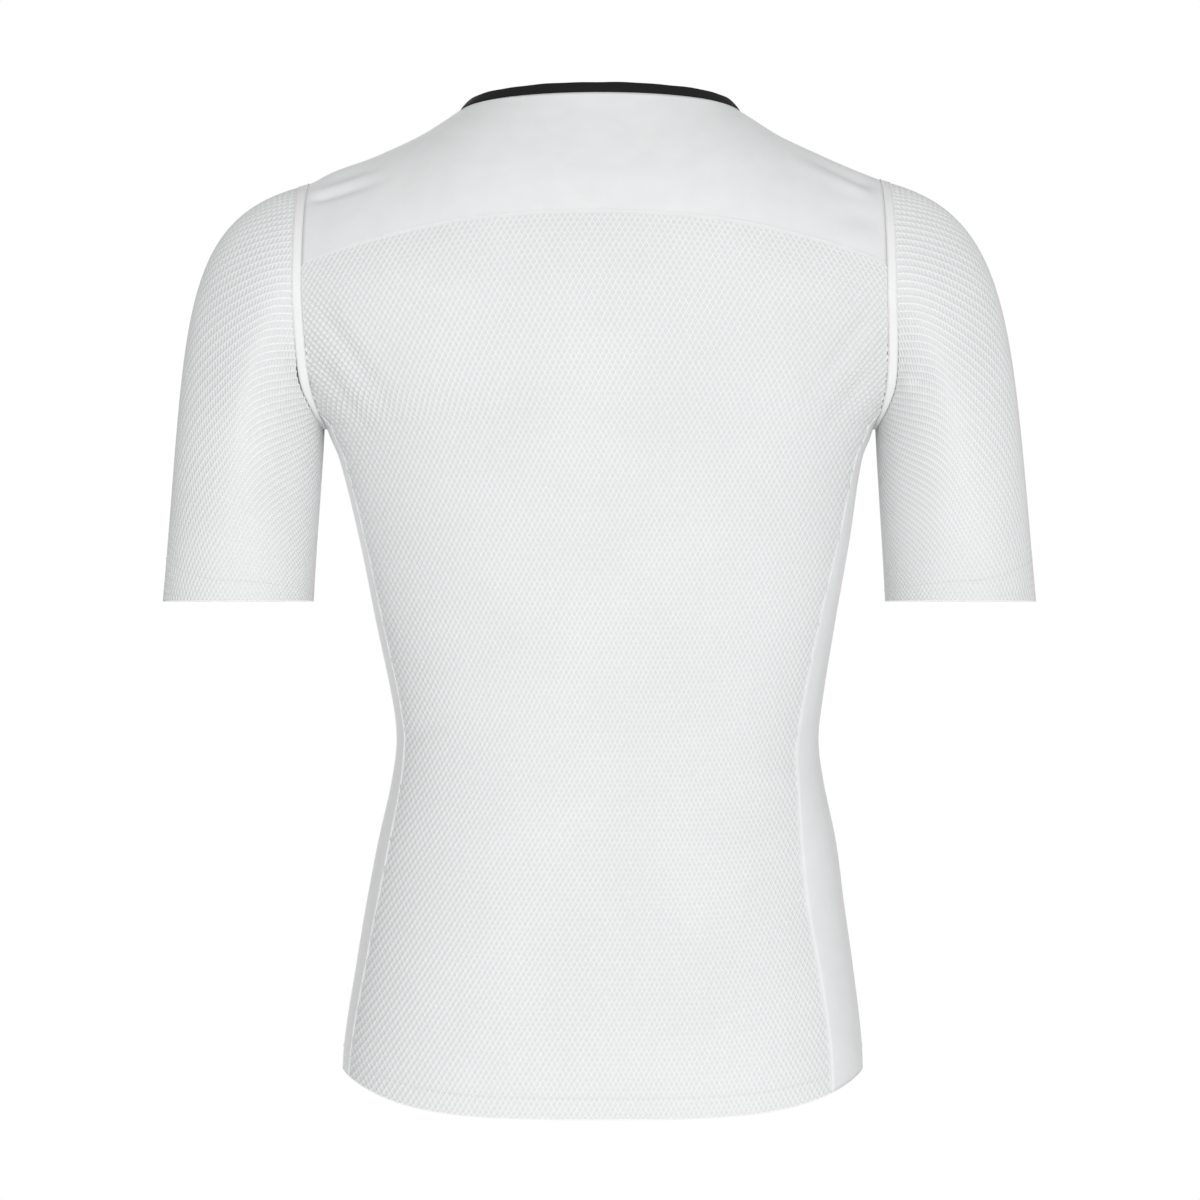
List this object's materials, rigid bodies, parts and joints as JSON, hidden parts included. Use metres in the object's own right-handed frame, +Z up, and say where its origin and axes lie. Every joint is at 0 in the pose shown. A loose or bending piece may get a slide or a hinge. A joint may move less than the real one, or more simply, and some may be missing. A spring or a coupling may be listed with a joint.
{
  "type": "short-sleeve base layer",
  "caption": "Close-fitting short-sleeve sports base layer with a mesh knit body and sleeves, a smooth yoke and side panels, and a bound round neck.",
  "frame": {"origin": "middle of the neck opening, level with the top of the shoulders, where the wearer holds the garment up", "axes": "+Z up, the garment's front towards -Y, the wearer's left towards +X"},
  "size_m": [0.5804, 0.2259, 0.6669],
  "materials": {
    "mesh_knit": "white open hexagonal mesh knit, matte",
    "plain_knit": "white fine smooth jersey, slight sheen",
    "seam_tape": "white flat raised seam, matte",
    "neck_binding": "black ribbed binding, matte"
  },
  "bodies": {
    "root": {"back_panel": "mesh_knit", "front_panel": "mesh_knit", "sleeve_left": "mesh_knit", "sleeve_right": "mesh_knit", "back_yoke": "plain_knit", "side_panel_left": "plain_knit", "side_panel_right": "plain_knit", "armhole_seam_left": "seam_tape", "armhole_seam_right": "seam_tape", "neckband": "neck_binding"}
  },
  "joints": []
}
